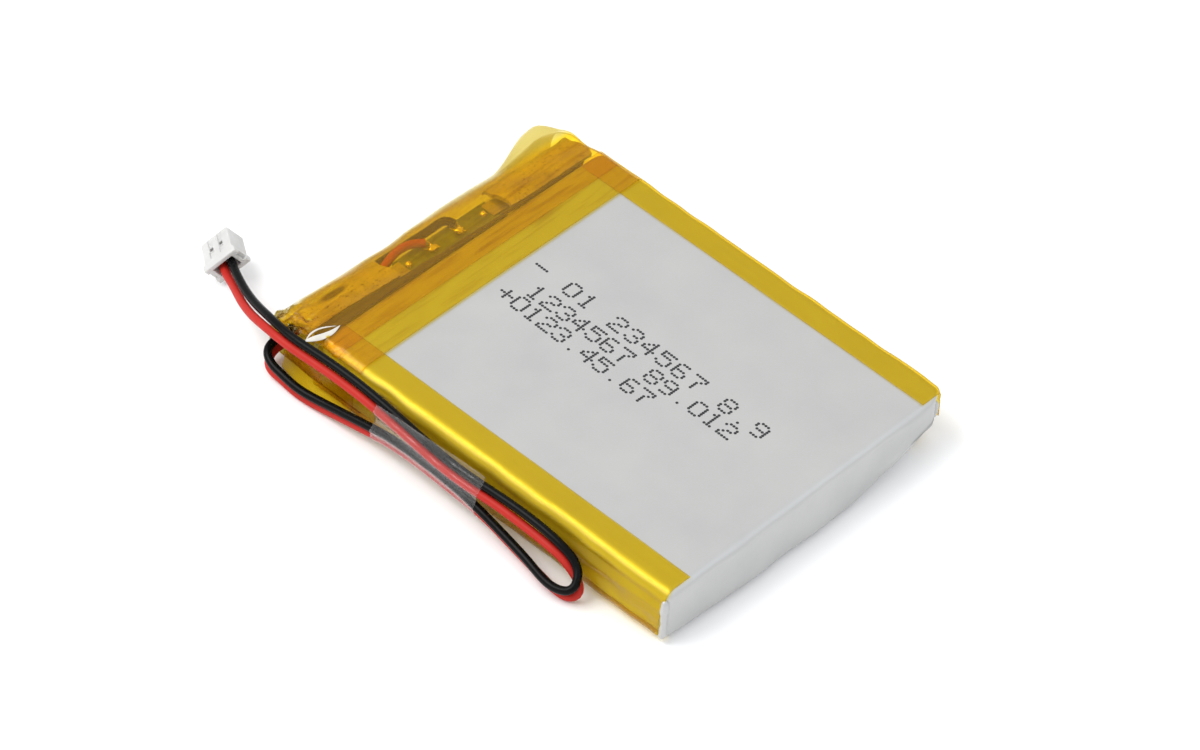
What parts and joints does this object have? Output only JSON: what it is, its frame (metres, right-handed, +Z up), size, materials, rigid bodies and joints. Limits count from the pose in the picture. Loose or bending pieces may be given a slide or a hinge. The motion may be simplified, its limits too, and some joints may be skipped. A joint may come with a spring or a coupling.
{
  "type": "pouch battery cell",
  "caption": "Flat silver foil-pouch lithium polymer cell with an amber film wrap over its protection board, and red and black leads looped along one side to a small white plug.",
  "frame": {"origin": "middle of the underside of the taped cell, its leads and connector left out, on the surface that it lies on", "axes": "+Y towards the tab end with the protection board, +Z up through the thickness, -X is the side that the leads run along"},
  "size_m": [0.054, 0.0812, 0.0082],
  "materials": {
    "laminate": "aluminium-plastic laminate with a matte nylon skin, silver grey",
    "anode": "graphite coating on copper foil, matte",
    "cathode": "black metal-oxide coating on aluminium foil, matte",
    "separator": "white microporous polyolefin film",
    "binding_tape": "green polyester tape",
    "aluminium": "bare aluminium strip",
    "nickel": "bare nickel strip, satin",
    "sealant": "white polypropylene tab film",
    "foam": "dark adhesive foam",
    "board": "green solder-masked glass-epoxy board",
    "chip": "black moulded epoxy",
    "ceramic": "tan ceramic",
    "solder": "tin solder, bright",
    "paper": "white insulation paper",
    "amber_tape": "amber polyimide film, glossy and translucent",
    "clear_tape": "clear polypropylene tape, glossy",
    "black_pvc": "black PVC insulation, glossy",
    "red_pvc": "red PVC insulation, glossy",
    "nylon": "natural white moulded nylon, satin",
    "tin": "tin-plated phosphor bronze"
  },
  "bodies": {
    "root": {"anode_sheet_1": "anode", "anode_sheet_2": "anode", "anode_sheet_3": "anode", "anode_sheet_4": "anode", "anode_sheet_5": "anode", "anode_sheet_6": "anode", "anode_sheet_7": "anode", "anode_sheet_8": "anode", "black_lead": "black_pvc", "cathode_sheet_1": "cathode", "cathode_sheet_2": "cathode", "cathode_sheet_3": "cathode", "cathode_sheet_4": "cathode", "cathode_sheet_5": "cathode", "cathode_sheet_6": "cathode", "cathode_sheet_7": "cathode", "connector_housing": "nylon", "crimp_terminal_black": "tin", "crimp_terminal_red": "tin", "filter_capacitor": "ceramic", "filter_resistor": "chip", "insulation_paper": "paper", "lead_exit_tape": "amber_tape", "lead_retaining_tape": "clear_tape", "mosfet_pair": "chip", "negative_nickel_strip": "nickel", "negative_tab": "nickel", "negative_tab_sealant": "sealant", "positive_nickel_strip": "nickel", "positive_tab": "aluminium", "positive_tab_sealant": "sealant", "pouch_laminate": "laminate", "protection_board": "board", "protection_ic": "chip", "red_lead": "red_pvc", "sense_resistor": "chip", "separator": "separator", "side_tape_far": "amber_tape", "side_tape_near": "amber_tape", "solder_joint_black": "solder", "solder_joint_negative": "solder", "solder_joint_positive": "solder", "solder_joint_red": "solder", "stack_binding_tape_1": "binding_tape", "stack_binding_tape_2": "binding_tape", "terrace_foam_far": "foam", "terrace_foam_near": "foam", "terrace_tape_inner": "amber_tape", "terrace_tape_outer": "amber_tape"}
  },
  "joints": []
}
